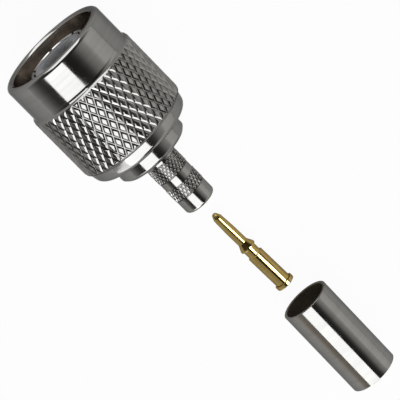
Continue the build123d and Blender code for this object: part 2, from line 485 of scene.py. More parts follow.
def raised(
    tree: bpy.types.NodeTree, shader: bpy.types.Node, height: bpy.types.NodeSocket,
    strength: float, distance: float,
) -> None:
    """Give a surface its fine relief.

    Args:
        tree: Node tree to add to.
        shader: The surface's Principled BSDF.
        height: Socket that gives the relief's height.
        strength: Strength of the relief.
        distance: Height of the relief, in millimetres.
    """
    bump = tree.nodes.new("ShaderNodeBump")
    feed(tree, bump.inputs["Strength"], strength)
    feed(tree, bump.inputs["Distance"], distance * MM)
    feed(tree, bump.inputs["Height"], height)
    feed(tree, shader.inputs["Normal"], bump.outputs["Normal"])


class NodeGroups:
    """Shader node groups that the finishes share, each built once."""

    _made: dict[str, bpy.types.NodeTree] = {}

    @classmethod
    def get(cls, name: str, build: Callable[[bpy.types.NodeTree], None]) -> bpy.types.NodeTree:
        """Fetch a group, and build it at its first use.

        Args:
            name: Name of the group.
            build: Function that fills an empty group.

        Returns:
            The node group.
        """
        if name not in cls._made:
            tree = bpy.data.node_groups.new(name, "ShaderNodeTree")
            build(tree)
            cls._made[name] = tree
        return cls._made[name]

    @staticmethod
    def sockets(
        tree: bpy.types.NodeTree, inputs: dict[str, str | float], outputs: Sequence[str]
    ) -> tuple[bpy.types.Node, bpy.types.Node]:
        """Give a group its sockets.

        Args:
            tree: The group.
            inputs: Name of each input, with "vector" or its default value.
            outputs: Names of the value outputs.

        Returns:
            The group's input node and its output node.
        """
        for name, value in inputs.items():
            kind = "NodeSocketVector" if value == "vector" else "NodeSocketFloat"
            item = tree.interface.new_socket(name, in_out="INPUT", socket_type=kind)
            if value != "vector":
                item.default_value = float(value)
        for name in outputs:
            tree.interface.new_socket(name, in_out="OUTPUT", socket_type="NodeSocketFloat")
        return tree.nodes.new("NodeGroupInput"), tree.nodes.new("NodeGroupOutput")

    @staticmethod
    def placed(
        tree: bpy.types.NodeTree, group: bpy.types.NodeTree, vector: bpy.types.NodeSocket
    ) -> bpy.types.Node:
        """Place a group in a material.

        Args:
            tree: Node tree of the material.
            group: The group.
            vector: Socket with the coordinates that it reads.

        Returns:
            The group's node.
        """
        node = tree.nodes.new("ShaderNodeGroup")
        node.node_tree = group
        tree.links.new(vector, node.inputs["Vector"])
        return node

    @classmethod
    def turning_marks(cls) -> bpy.types.NodeTree:
        """Fine rings that a lathe tool leaves, read along and out from the X axis.

        Returns:
            The group, with Height, Streak and Radius outputs.
        """
        def build(tree: bpy.types.NodeTree) -> None:
            """Fill the group.

            Args:
                tree: The empty group.
            """
            start, end = cls.sockets(
                tree, {"Vector": "vector", "Fine": 9000.0, "Coarse": 900.0},
                ["Height", "Streak", "Radius"],
            )
            link = tree.links.new
            split = tree.nodes.new("ShaderNodeSeparateXYZ")
            link(start.outputs["Vector"], split.inputs["Vector"])
            flat = tree.nodes.new("ShaderNodeCombineXYZ")
            link(split.outputs["Y"], flat.inputs["Y"])
            link(split.outputs["Z"], flat.inputs["Z"])
            radius = tree.nodes.new("ShaderNodeVectorMath")
            radius.operation = "LENGTH"
            link(flat.outputs["Vector"], radius.inputs[0])
            travel = worked(tree, "ADD", split.outputs["X"], radius.outputs["Value"])
            for name, result in (("Fine", "Height"), ("Coarse", "Streak")):
                noise = tree.nodes.new("ShaderNodeTexNoise")
                noise.noise_dimensions = "1D"
                noise.inputs["Scale"].default_value = 1.0
                noise.inputs["Detail"].default_value = 3.0
                noise.inputs["Roughness"].default_value = 0.6
                link(worked(tree, "MULTIPLY", travel, start.outputs[name]), noise.inputs["W"])
                link(noise.outputs["Fac"], end.inputs[result])
            link(radius.outputs["Value"], end.inputs["Radius"])

        return cls.get("turning_marks", build)

    @classmethod
    def mottle(cls) -> bpy.types.NodeTree:
        """Soft cloudy spots of a plated or moulded surface.

        Returns:
            The group, with Cloud and Grain outputs.
        """
        def build(tree: bpy.types.NodeTree) -> None:
            """Fill the group.

            Args:
                tree: The empty group.
            """
            start, end = cls.sockets(
                tree, {"Vector": "vector", "Cloud Scale": 500.0, "Grain Scale": 9000.0},
                ["Cloud", "Grain"],
            )
            for name in ("Cloud", "Grain"):
                noise = tree.nodes.new("ShaderNodeTexNoise")
                noise.inputs["Detail"].default_value = 3.0
                noise.inputs["Roughness"].default_value = 0.55
                tree.links.new(start.outputs["Vector"], noise.inputs["Vector"])
                tree.links.new(start.outputs[f"{name} Scale"], noise.inputs["Scale"])
                tree.links.new(noise.outputs["Fac"], end.inputs[name])

        return cls.get("mottle", build)


@dataclass(frozen=True)
class TurnedMetal:
    """Plated metal turned on a lathe.

    Args:
        name: Name of the material.
        color: Colour of the plating.
        shade: Colour of its darker streaks.
        rough: Roughness of a clean patch.
        rough_spread: How much the roughness varies.
        marks: Height of the tool's rings, in millimetres.
        tint: Specular tint at grazing angles.
        middle: A point on the piece's axis, in metres.
        turn: Angle of the piece's axis about Z, in radians.
        inner_r: Radius, in millimetres, below which the inside's own colour begins, or 0.
        inner_end: Distance along the axis, in millimetres, at which that colour ends.
        inner: Colour of the inside, painted light that stands in for the light and shade in the hollow.
        inner_rough: Roughness of the inside.
    """

    name: str
    color: Color
    shade: Color
    rough: float = 0.10
    rough_spread: float = 0.04
    marks: float = 0.002
    tint: float = 0.5
    middle: tuple[float, float, float] = (0.0, 0.0, 0.0)
    turn: float = 0.0
    inner_r: float = 0.0
    inner_end: float = 100.0
    inner: Color = (0.1, 0.1, 0.1)
    inner_rough: float = 0.4

    def centred(self, tree: bpy.types.NodeTree) -> bpy.types.NodeSocket:
        """Give the piece's own coordinates, with X along its axis.

        Args:
            tree: Node tree of the material.

        Returns:
            The socket with the coordinates.
        """
        where = tree.nodes.new("ShaderNodeTexCoord")
        place = tree.nodes.new("ShaderNodeMapping")
        place.vector_type = "TEXTURE"
        place.inputs["Location"].default_value = self.middle
        place.inputs["Rotation"].default_value = (0.0, 0.0, self.turn)
        tree.links.new(where.outputs["Object"], place.inputs["Vector"])
        return place.outputs["Vector"]

    def outside(
        self, tree: bpy.types.NodeTree, vector: bpy.types.NodeSocket, radius: bpy.types.NodeSocket
    ) -> bpy.types.NodeSocket:
        """Mask that is 0 on the piece's inside and 1 elsewhere.

        Args:
            tree: Node tree of the material.
            vector: Socket with the piece's own coordinates.
            radius: Socket with the distance from its axis.

        Returns:
            The socket with the mask.
        """
        blend = 0.05 * MM
        split = tree.nodes.new("ShaderNodeSeparateXYZ")
        tree.links.new(vector, split.inputs["Vector"])
        edges = [(radius, self.inner_r * MM), (split.outputs["X"], self.inner_end * MM)]
        masks = [mapped(tree, value, edge, edge + blend) for value, edge in edges]
        return worked(tree, "MAXIMUM", *masks)

    def material(self) -> bpy.types.Material:
        """Build the material.

        Returns:
            The material.
        """
        material, tree, shader = started(self.name)
        vector = self.centred(tree)
        marks = NodeGroups.placed(tree, NodeGroups.turning_marks(), vector)
        cloud = NodeGroups.placed(tree, NodeGroups.mottle(), vector)
        streak = mapped(tree, marks.outputs["Streak"], 0.35, 0.65)
        color = blended(tree, streak, self.shade, self.color)
        rough = mapped(
            tree, cloud.outputs["Cloud"], *NOISE_SPAN,
            self.rough - self.rough_spread, self.rough + self.rough_spread,
        )
        # Painted light: the inside gets its own colour, standing in for the light and shade seen in the
        # hollow.
        if self.inner_r > 0.0:
            outside = self.outside(tree, vector, marks.outputs["Radius"])
            color = blended(tree, outside, self.inner, color)
            rough = mapped(tree, outside, 0.0, 1.0, self.inner_rough, rough)
        for name, value in (
            ("Base Color", color), ("Roughness", rough), ("Metallic", 1.0),
            ("Specular Tint", (self.tint, self.tint, self.tint)),
        ):
            feed(tree, shader.inputs[name], value)
        raised(tree, shader, marks.outputs["Height"], strength=0.5, distance=self.marks)
        return material


@dataclass(frozen=True)
class Moulded:
    """Matt plastic or rubber.

    Args:
        name: Name of the material.
        color: Main colour.
        shade: Colour of its darker clouds.
        rough: Roughness.
        rough_spread: How much the roughness varies.
        specular: Specular level.
        grain: Height of its fine grain, in millimetres.
        depth: How deep light goes into it, in millimetres, or 0 where it is opaque.
    """

    name: str
    color: Color
    shade: Color
    rough: float
    rough_spread: float = 0.05
    specular: float = 0.4
    grain: float = 0.004
    depth: float = 0.0

    def material(self) -> bpy.types.Material:
        """Build the material.

        Returns:
            The material.
        """
        material, tree, shader = started(self.name)
        where = tree.nodes.new("ShaderNodeTexCoord")
        cloud = NodeGroups.placed(tree, NodeGroups.mottle(), where.outputs["Object"])
        share = mapped(tree, cloud.outputs["Cloud"], *NOISE_SPAN)
        feed(tree, shader.inputs["Base Color"], blended(tree, share, self.shade, self.color))
        rough = mapped(
            tree, cloud.outputs["Grain"], *NOISE_SPAN,
            self.rough - self.rough_spread, self.rough + self.rough_spread,
        )
        feed(tree, shader.inputs["Roughness"], rough)
        feed(tree, shader.inputs["Specular IOR Level"], self.specular)
        if self.depth > 0.0:
            shader.inputs["Subsurface Weight"].default_value = 1.0
            shader.inputs["Subsurface Radius"].default_value = (1.0, 1.0, 1.0)
            shader.inputs["Subsurface Scale"].default_value = self.depth * MM
        raised(tree, shader, cloud.outputs["Grain"], strength=0.4, distance=self.grain)
        return material


@dataclass(frozen=True)
class Piece:
    """What a finished piece is called, stands for and rides on.

    Args:
        name: Name of the piece.
        node: CAD node that it replaces.
        body: Body that it rides on.
        slot: Material slot of the record; not used.
    """

    name: str
    node: str
    body: Body
    slot: str

    def finish(
        self, bm: bmesh.types.BMesh, place: Matrix, material: bpy.types.Material, crease: float
    ) -> bpy.types.Object:
        """Put a mesh in its place as a finished object.

        Args:
            bm: The piece's mesh about the X axis, which is freed.
            place: Where the piece lies.
            material: Its material.
            crease: Angle, in degrees, above which an edge stays sharp.

        Returns:
            The finished object.
        """
        bmesh.ops.transform(bm, matrix=place, verts=bm.verts)
        mesh = bpy.data.meshes.new(f"{self.name}_mesh")
        bm.to_mesh(mesh)
        bm.free()
        mesh.shade_smooth()
        mesh.set_sharp_from_angle(angle=math.radians(crease))
        mesh.materials.append(material)
        obj = bpy.data.objects.new(self.name, mesh)
        bpy.context.scene.collection.objects.link(obj)
        shading = obj.modifiers.new("shading", "WEIGHTED_NORMAL")
        shading.weight = 100
        shading.keep_sharp = True
        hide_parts(self.node)
        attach(obj, self.body.value)
        low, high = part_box(self.node)
        own = [tuple(v.co[i] for v in mesh.vertices) for i in range(3)]
        spare = max(
            max(abs(min(own[i]) - low[i]), abs(max(own[i]) - high[i])) for i in range(3)
        )
        log.info(
            "%s: %d faces, within %.3f mm of its CAD box", self.name, len(mesh.polygons), spare / MM
        )
        return obj


@dataclass(frozen=True)
class Layout:
    """Where the pieces lie in the row, in millimetres and degrees.

    Args:
        axis_height: Height of the plug's axis.
        pin_tip: Station of the loose contact's tip.
        pin_aside: How far its middle lies beside the plug's axis.
        pin_turn: How far it turns from the plug's axis.
        ferrule_gap: Gap between the contact and the ferrule.
        ferrule_aside: How far the ferrule's middle lies beside the plug's axis.
        ferrule_turn: How far it turns from the plug's axis.
    """

    axis_height: float = 7.35
    pin_tip: float = 29.70
    pin_aside: float = 0.14
    pin_turn: float = 1.75
    ferrule_gap: float = 2.45
    ferrule_aside: float = 0.44
    ferrule_turn: float = -0.85

    @property
    def front(self) -> float:
        """X of the nut's front face, in millimetres."""
        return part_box("coupling_nut")[0].x / MM

    def plug(self) -> Matrix:
        """Place of the plug's pieces."""
        return Matrix.Translation(Vector((self.front, 0.0, self.axis_height)) * MM)

    def rested(self, middle: Vector, turn: float, length: float) -> Matrix:
        """Place of a piece that rests on the table, whose own stations run from its first end.

        Args:
            middle: Its middle, in metres.
            turn: How far it turns from the plug's axis.
            length: Length that it takes on the table.

        Returns:
            The place.
        """
        back = Matrix.Translation(Vector((-length / 2, 0.0, 0.0)) * MM)
        return Matrix.Translation(middle) @ Matrix.Rotation(math.radians(turn), 4, "Z") @ back


@dataclass
class RowPiece(ABC):
    """Piece of the row, built about the X axis, then laid in its place and dressed.

    Args:
        layout: Where the pieces lie.
    """

    layout: Layout
    piece: ClassVar[Piece]
    crease: ClassVar[float] = 35.0

    @abstractmethod
    def shell(self) -> bmesh.types.BMesh:
        """Mesh of the piece about the X axis."""

    def place(self) -> Matrix:
        """Place of the piece in the row."""
        return self.layout.plug()

    def build(self, material: bpy.types.Material) -> bpy.types.Object:
        """Build and dress the piece.

        Args:
            material: Its finish.

        Returns:
            The finished object.
        """
        return self.piece.finish(self.shell(), self.place(), material, self.crease)


NICKEL: Color = (0.288, 0.280, 0.262)
NICKEL_SHADE: Color = (0.264, 0.256, 0.238)
KNURL_CREASE = 24.0  # below the slope of the knurls' flanks, in degrees, so that they stay crisp


@dataclass
class CouplingNut(RowPiece):
    """Knurled nut that screws onto the jack; stations run from its front face.

    Args:
        length: Length of the nut.
        band_r: Radius of the smooth front band.
        band_end: Station where the band ends.
        line: Station of the fine line round the band.
        line_half: Half of the line's width.
        line_depth: Its depth.
        ridge_r: Radius of the rims on both sides of the knurl.
        tail_start: Station where the rounded tail begins.
        tail_r: Radius of the tail at its start.
        tail_end_r: Radius of the tail at its end.
        mouth_r: Radius of the plain mouth.
        mouth_end: Station where the mouth ends.
        mouth_chamfer: Chamfer of the mouth's rim.
        relief_r: Radius of the relief around the gasket.
        relief_start: Station where the relief begins.
        relief_end: Station where it begins to close.
        groove_r: Radius of the snap ring's groove.
        groove_start: Station of the groove's front wall.
        groove_end: Station of its rear wall.
        bore_r: Radius of the bore that runs on the body.
        bore_chamfer: Chamfer of that bore's rear rim.
        knurl: The diamond knurl on its outside.
        thread: The screw thread in its mouth.
    """

    piece: ClassVar[Piece] = Piece("knurled_nut", "coupling_nut", Body.NUT, "nickel_nut")
    crease: ClassVar[float] = KNURL_CREASE
    length: float = 15.51
    band_r: float = 7.02
    band_end: float = 4.75
    line: float = 4.365
    line_half: float = 0.02
    line_depth: float = 0.006
    ridge_r: float = 7.30
    tail_start: float = 13.83
    tail_r: float = 7.03
    tail_end_r: float = 6.68
    mouth_r: float = 6.05
    mouth_end: float = 2.10
    mouth_chamfer: float = 0.28
    relief_r: float = 5.70
    relief_start: float = 7.20
    relief_end: float = 9.80
    groove_r: float = 5.45
    groove_start: float = 12.40
    groove_end: float = 13.45
    bore_r: float = 4.86
    bore_chamfer: float = 0.15
    knurl: DiamondKnurl = DiamondKnurl(
        start=4.93, length=8.67, rows=9, count=46, crest=7.35, depth=0.11,
        floor=0.03, flank=0.182, ease=0.03,
    )
    thread: InnerThread = InnerThread(
        start=2.75, end=6.95, crest=5.16, root=5.56, pitch=0.907, cone=8.15,
    )

    def turning(self) -> bmesh.types.BMesh:
        """Turned part of the nut, relieved where the knurled drum fills it."""
        root = self.thread.root
        return turned([
            Corner(0.0, self.mouth_r + self.mouth_chamfer, 0.03, 2),
            Corner(0.0, self.band_r, 0.56, 10),
            Corner(self.line - self.line_half, self.band_r),
            Corner(self.line, self.band_r - self.line_depth),
            Corner(self.line + self.line_half, self.band_r),
            Corner(self.band_end, self.band_r),
            *self.knurl.seat(self.ridge_r, 0.04),
            Corner(self.tail_start, self.tail_r),
            Corner(self.length, self.tail_end_r, 0.77, 12),
            Corner(self.length, self.bore_r + self.bore_chamfer, 0.04, 2),
            Corner(self.length - self.bore_chamfer, self.bore_r),
            Corner(self.groove_end, self.bore_r),
            Corner(self.groove_end, self.groove_r),
            Corner(self.groove_start, self.groove_r),
            Corner(self.groove_start, self.bore_r),
            Corner(self.relief_end + self.relief_r - self.bore_r, self.bore_r),
            Corner(self.relief_end, self.relief_r),
            Corner(self.relief_start, self.relief_r),
            Corner(self.relief_start, root),
            Corner(self.mouth_end + self.mouth_r - root, root),
            Corner(self.mouth_end, self.mouth_r),
            Corner(self.mouth_chamfer, self.mouth_r),
        ], steps=184)

    def shell(self) -> bmesh.types.BMesh:
        """Mesh of the nut, with its knurl and its thread."""
        return joined([self.turning(), self.knurl.build(), self.thread.build()])


@dataclass
class PlugBody(RowPiece):
    """Body with the rear flange and the hollow crimp stem.

    Args:
        start: Station of the neck's front end.
        neck_r: Radius of the neck and the flange.
        neck_chamfer: Chamfer of the neck's front rim.
        groove_r: Radius of the snap ring's groove.
        groove_start: Station of the groove's front wall.
        groove_end: Station of its rear wall.
        flange_end: Station of the flange's rear face.
        flange_chamfer: Chamfer of the flange's rear rim.
        stem_r: Radius of the crimp stem.
        stem_end: Station of the stem's end.
        bore_r: Radius of the bore in the stem.
        well_r: Radius of the well that holds the insulator.
        well_end: Station of the well's floor.
        seat_r: Radius of the seat for the outer contact.
        seat_end: Station of the seat's floor.
        grips: The two bands of fine knurl on the stem.
    """

    piece: ClassVar[Piece] = Piece("turned_body", "connector_body", Body.PLUG, "nickel_body")
    crease: ClassVar[float] = KNURL_CREASE
    start: float = 8.60
    neck_r: float = 4.79
    neck_chamfer: float = 0.20
    groove_r: float = 4.12
    groove_start: float = 12.50
    groove_end: float = 13.35
    flange_end: float = 17.53
    flange_chamfer: float = 0.40
    stem_r: float = 2.10
    stem_end: float = 25.57
    bore_r: float = 1.50
    well_r: float = 3.50
    well_end: float = 15.00
    seat_r: float = 3.85
    seat_end: float = 11.00
    grips: tuple[DiamondKnurl, ...] = tuple(
        DiamondKnurl(
            start, length, rows, count=28, crest=2.15, depth=0.11,
            floor=0.012, flank=0.068, ease=0.02,
        )
        for start, length, rows in ((18.45, 2.20, 6), (21.70, 1.80, 4))
    )

    def turning(self) -> bmesh.types.BMesh:
        """Turned part of the body, relieved where the two grips fill it."""
        return turned([
            Corner(self.start, self.seat_r),
            Corner(self.start, self.neck_r - self.neck_chamfer),
            Corner(self.start + self.neck_chamfer, self.neck_r),
            Corner(self.groove_start, self.neck_r),
            Corner(self.groove_start, self.groove_r),
            Corner(self.groove_end, self.groove_r),
            Corner(self.groove_end, self.neck_r),
            Corner(self.flange_end - self.flange_chamfer, self.neck_r, 0.08, 3),
            Corner(self.flange_end, self.neck_r - self.flange_chamfer, 0.08, 3),
            Corner(self.flange_end, self.stem_r, 0.20, 5),
            *(corner for grip in self.grips for corner in grip.seat(self.stem_r)),
            Corner(self.stem_end, self.stem_r, 0.45, 8),
            Corner(self.stem_end, self.bore_r, 0.05, 2),
            Corner(self.well_end, self.bore_r),
            Corner(self.well_end, self.well_r),
            Corner(self.seat_end, self.well_r),
            Corner(self.seat_end, self.seat_r),
        ], steps=132)

    def shell(self) -> bmesh.types.BMesh:
        """Mesh of the body, with its grips."""
        return joined([self.turning(), *(grip.build() for grip in self.grips)])


@dataclass
class SnapRing(RowPiece):
    """Open ring that holds the nut on the body.

    Args:
        start: Station of its front face.
        end: Station of its rear face.
        inner_r: Inside radius.
        outer_r: Outside radius.
        edge: Rounding of its edges.
        gap: Angle of its gap, in degrees.
    """

    piece: ClassVar[Piece] = Piece("snap_ring", "retaining_ring", Body.PLUG, "spring_bronze")
    start: float = 12.55
    end: float = 13.30
    inner_r: float = 4.20
    outer_r: float = 5.20
    edge: float = 0.08
    gap: float = 50.0

    def shell(self) -> bmesh.types.BMesh:
        """Mesh of the open ring."""
        return swept([
            Corner(self.start, self.inner_r, self.edge, 3),
            Corner(self.start, self.outer_r, self.edge, 3),
            Corner(self.end, self.outer_r, self.edge, 3),
            Corner(self.end, self.inner_r, self.edge, 3),
        ], math.radians(self.gap / 2), math.radians(360.0 - self.gap), steps=96)


@dataclass
class OuterContact(RowPiece):
    """Spring sleeve in the mouth, slotted into six fingers.

    Args:
        start: Station of the fingers' tips.
        root: Station where the slots end.
        shoulder: Station of the step that holds the gasket.
        end: Station of the foot's end.
        outer_r: Outside radius of the fingers.
        bore_r: Inside radius.
        foot_r: Outside radius of the foot.
        tip: Chamfer of the fingers' tips.
        fingers: Number of fingers.
        slot_angle: Angle that a slot takes, in degrees.
        turn: Angle from the top to the first slot's middle, in degrees.
    """

    piece: ClassVar[Piece] = Piece("slotted_contact", "outer_contact", Body.PLUG, "contact_plating")
    start: float = 1.00
    root: float = 6.60
    shoulder: float = 7.50
    end: float = 11.00
    outer_r: float = 4.05
    bore_r: float = 3.50
    foot_r: float = 3.85
    tip: float = 0.12
    fingers: int = 6
    slot_angle: float = 7.8
    turn: float = -3.0

    def finger(self, index: int) -> bmesh.types.BMesh:
        """Build one spring finger.

        Args:
            index: Number of the finger round the sleeve.

        Returns:
            The bmesh of the finger.
        """
        pitch = 360.0 / self.fingers
        start = self.turn + index * pitch + self.slot_angle / 2
        return swept([
            Corner(self.start, self.bore_r + self.tip, 0.03, 2),
            Corner(self.start, self.outer_r - self.tip, 0.05, 3),
            Corner(self.start + self.tip, self.outer_r, 0.05, 3),
            Corner(self.root, self.outer_r),
            Corner(self.root, self.bore_r),
            Corner(self.start + self.tip, self.bore_r, 0.03, 2),
        ], math.radians(start), math.radians(pitch - self.slot_angle), steps=18)

    def foot(self) -> bmesh.types.BMesh:
        """Foot that the fingers spring from, pressed into the body."""
        return turned([
            Corner(self.root, self.bore_r),
            Corner(self.root, self.outer_r),
            Corner(self.shoulder, self.outer_r, 0.04, 2),
            Corner(self.shoulder, self.foot_r),
            Corner(self.end, self.foot_r),
            Corner(self.end, self.bore_r),
        ], steps=120)

    def shell(self) -> bmesh.types.BMesh:
        """Mesh of the contact, foot and fingers."""
        return joined([self.foot(), *(self.finger(i) for i in range(self.fingers))])


@dataclass
class Gasket(RowPiece):
    """Flat sealing ring at the foot of the outer contact.

    Args:
        start: Station of its front face.
        end: Station of its rear face.
        inner_r: Inside radius.
        outer_r: Outside radius.
        edge: Rounding of its outer edges.
    """

    piece: ClassVar[Piece] = Piece("seal_ring", "gasket", Body.PLUG, "silicone")
    start: float = 7.50
    end: float = 8.60
    inner_r: float = 3.85
    outer_r: float = 5.00
    edge: float = 0.12

    def shell(self) -> bmesh.types.BMesh:
        """Mesh of the gasket."""
        return turned([
            Corner(self.start, self.inner_r),
            Corner(self.start, self.outer_r, self.edge, 4),
            Corner(self.end, self.outer_r, self.edge, 4),
            Corner(self.end, self.inner_r),
        ], steps=96)


@dataclass
class Insulator(RowPiece):
    """White dielectric with the jack's socket and the stepped contact hole.

    Args:
        start: Station of its front face.
        nose_r: Radius inside the spring fingers.
        nose_end: Station where the wider rear begins.
        rear_r: Radius of the rear.
        end: Station of its rear face.
        socket_r: Radius of the jack's socket.
        socket_end: Station of the socket's floor.
        throat_r: Radius of the contact hole at the socket.
        throat_end: Station where the hole widens for the pin's shoulder.
        hole_r: Radius of the hole along the pin's barrel.
        collar_start: Station where it widens for the pin's collar.
        collar_r: Radius of the hole at the collar.
    """

    piece: ClassVar[Piece] = Piece("white_insulator", "insulator", Body.PLUG, "ptfe")
    start: float = 1.10
    nose_r: float = 3.40
    nose_end: float = 8.00
    rear_r: float = 3.50
    end: float = 15.00
    socket_r: float = 2.45
    socket_end: float = 6.20
    throat_r: float = 0.70
    throat_end: float = 7.40
    hole_r: float = 1.08
    collar_start: float = 14.35
    collar_r: float = 1.28

    def shell(self) -> bmesh.types.BMesh:
        """Mesh of the insulator."""
        return turned([
            Corner(self.start, self.socket_r, 0.10, 3),
            Corner(self.start, self.nose_r, 0.10, 3),
            Corner(self.nose_end, self.nose_r),
            Corner(self.nose_end, self.rear_r),
            Corner(self.end, self.rear_r),
            Corner(self.end, self.collar_r),
            Corner(self.collar_start, self.collar_r),
            Corner(self.collar_start, self.hole_r),
            Corner(self.throat_end, self.hole_r),
            Corner(self.throat_end, self.throat_r),
            Corner(self.socket_end, self.throat_r, 0.08, 2),
            Corner(self.socket_end, self.socket_r),
        ], steps=96)


@dataclass
class CenterContact(RowPiece):
    """Loose gold pin; stations run from its tip.

    Args:
        tip_r: Radius of the blunt tip.
        nose_end: Station where the tapered nose ends.
        nose_r: Radius there.
        taper_end: Station where the pin reaches its full size.
        pin_r: Radius of the pin.
        shoulder_start: Station where the cone of the shoulder begins.
        shoulder_top: Station where that cone ends.
        shoulder_end: Station of the shoulder's rear face.
        shoulder_r: Radius of the shoulder.
        neck_r: Radius of the neck behind the shoulder.
        neck_end: Station where the neck ends.
        barrel_start: Station where the barrel begins.
        barrel_r: Radius of the barrel.
        collar_start: Station of the collar's front face.
        collar_r: Radius of the collar.
        length: Length of the pin.
        hole_r: Radius of the hole for the cable's wire.
        hole_chamfer: Chamfer of the hole's rim.
        hole_depth: Depth of that hole.
    """

    piece: ClassVar[Piece] = Piece("gold_pin", "center_contact", Body.PLUG, "gold")
    tip_r: float = 0.25
    nose_end: float = 0.68
    nose_r: float = 0.573
    taper_end: float = 3.01
    pin_r: float = 0.658
    shoulder_start: float = 4.99
    shoulder_top: float = 5.77
    shoulder_end: float = 5.98
    shoulder_r: float = 1.04
    neck_r: float = 0.85
    neck_end: float = 7.02
    barrel_start: float = 7.14
    barrel_r: float = 1.03
    collar_start: float = 11.93
    collar_r: float = 1.24
    length: float = 12.46
    hole_r: float = 0.50
    hole_chamfer: float = 0.08
    hole_depth: float = 5.50

    def shell(self) -> bmesh.types.BMesh:
        """Mesh of the pin."""
        floor = self.length - self.hole_depth
        return turned([
            Corner(0.0, 0.0),
            Corner(0.0, self.tip_r, 0.12, 4),
            Corner(self.nose_end, self.nose_r, 0.12, 4),
            Corner(self.taper_end, self.pin_r, 0.10, 3),
            Corner(self.shoulder_start, self.pin_r, 0.03, 2),
            Corner(self.shoulder_top, self.shoulder_r, 0.04, 3),
            Corner(self.shoulder_end, self.shoulder_r, 0.03, 2),
            Corner(self.shoulder_end, self.neck_r),
            Corner(self.neck_end, self.neck_r),
            Corner(self.barrel_start, self.barrel_r, 0.03, 2),
            Corner(self.collar_start, self.barrel_r),
            Corner(self.collar_start, self.collar_r, 0.04, 3),
            Corner(self.length, self.collar_r, 0.12, 4),
            Corner(self.length, self.hole_r + self.hole_chamfer, 0.02, 2),
            Corner(self.length - self.hole_chamfer, self.hole_r),
            Corner(floor, self.hole_r),
            Corner(floor - self.hole_r / 2, 0.0),
        ], steps=72)

    @property
    def dip(self) -> float:
        """Angle at which it rests on its shoulder and its collar, in radians."""
        return math.atan((self.collar_r - self.shoulder_r) / (self.collar_start - self.shoulder_top))

    @property
    def reach(self) -> float:
        """Length that it takes on the table."""
        return self.length * math.cos(self.dip)

    @property
    def middle(self) -> Vector:
        """Middle of the contact, at the height of its axis at the tip, in metres."""
        along = self.layout.front + self.layout.pin_tip + self.reach / 2
        height = self.shoulder_r * math.cos(self.dip) - self.shoulder_top * math.sin(self.dip)
        return Vector((along, self.layout.pin_aside, height)) * MM

    def place(self) -> Matrix:
        """Place of the contact, with its nose dipped to the table."""
        dip = Matrix.Rotation(-self.dip, 4, "Y")
        return self.layout.rested(self.middle, self.layout.pin_turn, self.reach) @ dip


@dataclass
class CrimpFerrule(RowPiece):
    """Loose plain tube; stations run from its end nearest the pin.

    Args:
        contact: The loose contact that it lies beyond.
        length: Length of the tube.
        outer_r: Outside radius.
        bore_r: Inside radius.
        edge: Rounding of its rims.
    """

    piece: ClassVar[Piece] = Piece("plain_ferrule", "crimp_ferrule", Body.PLUG, "nickel_ferrule")
    contact: CenterContact
    length: float = 12.70
    outer_r: float = 3.175
    bore_r: float = 2.78
    edge: float = 0.06

    def shell(self) -> bmesh.types.BMesh:
        """Mesh of the tube."""
        return turned([
            Corner(0.0, self.bore_r, self.edge, 3),
            Corner(0.0, self.outer_r, self.edge, 4),
            Corner(self.length, self.outer_r, self.edge, 4),
            Corner(self.length, self.bore_r, self.edge, 3),
        ], steps=144)

    @property
    def middle(self) -> Vector:
        """Middle of the tube, in metres."""
        layout = self.layout
        start = layout.pin_tip + self.contact.reach + layout.ferrule_gap
        return Vector((layout.front + start + self.length / 2, layout.ferrule_aside, self.outer_r)) * MM

    def place(self) -> Matrix:
        """Place of the tube."""
        return self.layout.rested(self.middle, self.layout.ferrule_turn, self.length)


@dataclass(frozen=True)
class SoftBox:
    """Rectangular soft lamp, pointed at the middle of the row.

    Args:
        name: Name of the lamp.
        toward: Direction of the lamp from the row.
        long: Its size along the row, in metres.
        wide: Its size across the row, in metres.
        radiance: How bright its face is, where 1 is white.
        distance: Its distance from the row, in metres.
        card: Whether only reflections see it, as a card beside the camera.
        tone: Colour of its light.
        spared: The loose piece that it is kept off, if any.
        only: The loose piece that it shines on alone, if any.
    """

    name: str
    toward: tuple[float, float, float]
    long: float
    wide: float
    radiance: float
    distance: float = 0.6
    card: bool = False
    tone: Color = (0.97, 1.0, 1.05)
    spared: Loose | None = None
    only: Loose | None = None

    def build(self, loose: dict[Loose, bpy.types.Object]) -> bpy.types.Object:
        """Hang the lamp.

        Args:
            loose: The objects of the loose pieces.

        Returns:
            The lamp.
        """
        light = bpy.data.lights.new(self.name, "AREA")
        light.shape = "RECTANGLE"
        light.size = self.long
        light.size_y = self.wide
        light.energy = self.radiance * math.pi * self.long * self.wide
        light.color = self.tone
        lamp = bpy.data.objects.new(self.name, light)
        bpy.context.scene.collection.objects.link(lamp)
        toward = Vector(self.toward).normalized()
        along = (Vector((1.0, 0.0, 0.0)) - toward * toward.x).normalized()
        turn = Matrix((along, toward.cross(along), toward)).transposed().to_4x4()
        lamp.matrix_world = Matrix.Translation(toward * self.distance) @ turn
        lamp.visible_camera = False
        lamp.visible_diffuse = not self.card
        if self.spared or self.only:
            lit = bpy.data.collections.new(f"{self.name}_lit")
            lit.objects.link(loose[self.spared or self.only])
            lamp.light_linking.receiver_collection = lit
            state = "INCLUDE" if self.only else "EXCLUDE"
            lit.collection_objects[0].light_linking.link_state = state
        return lamp


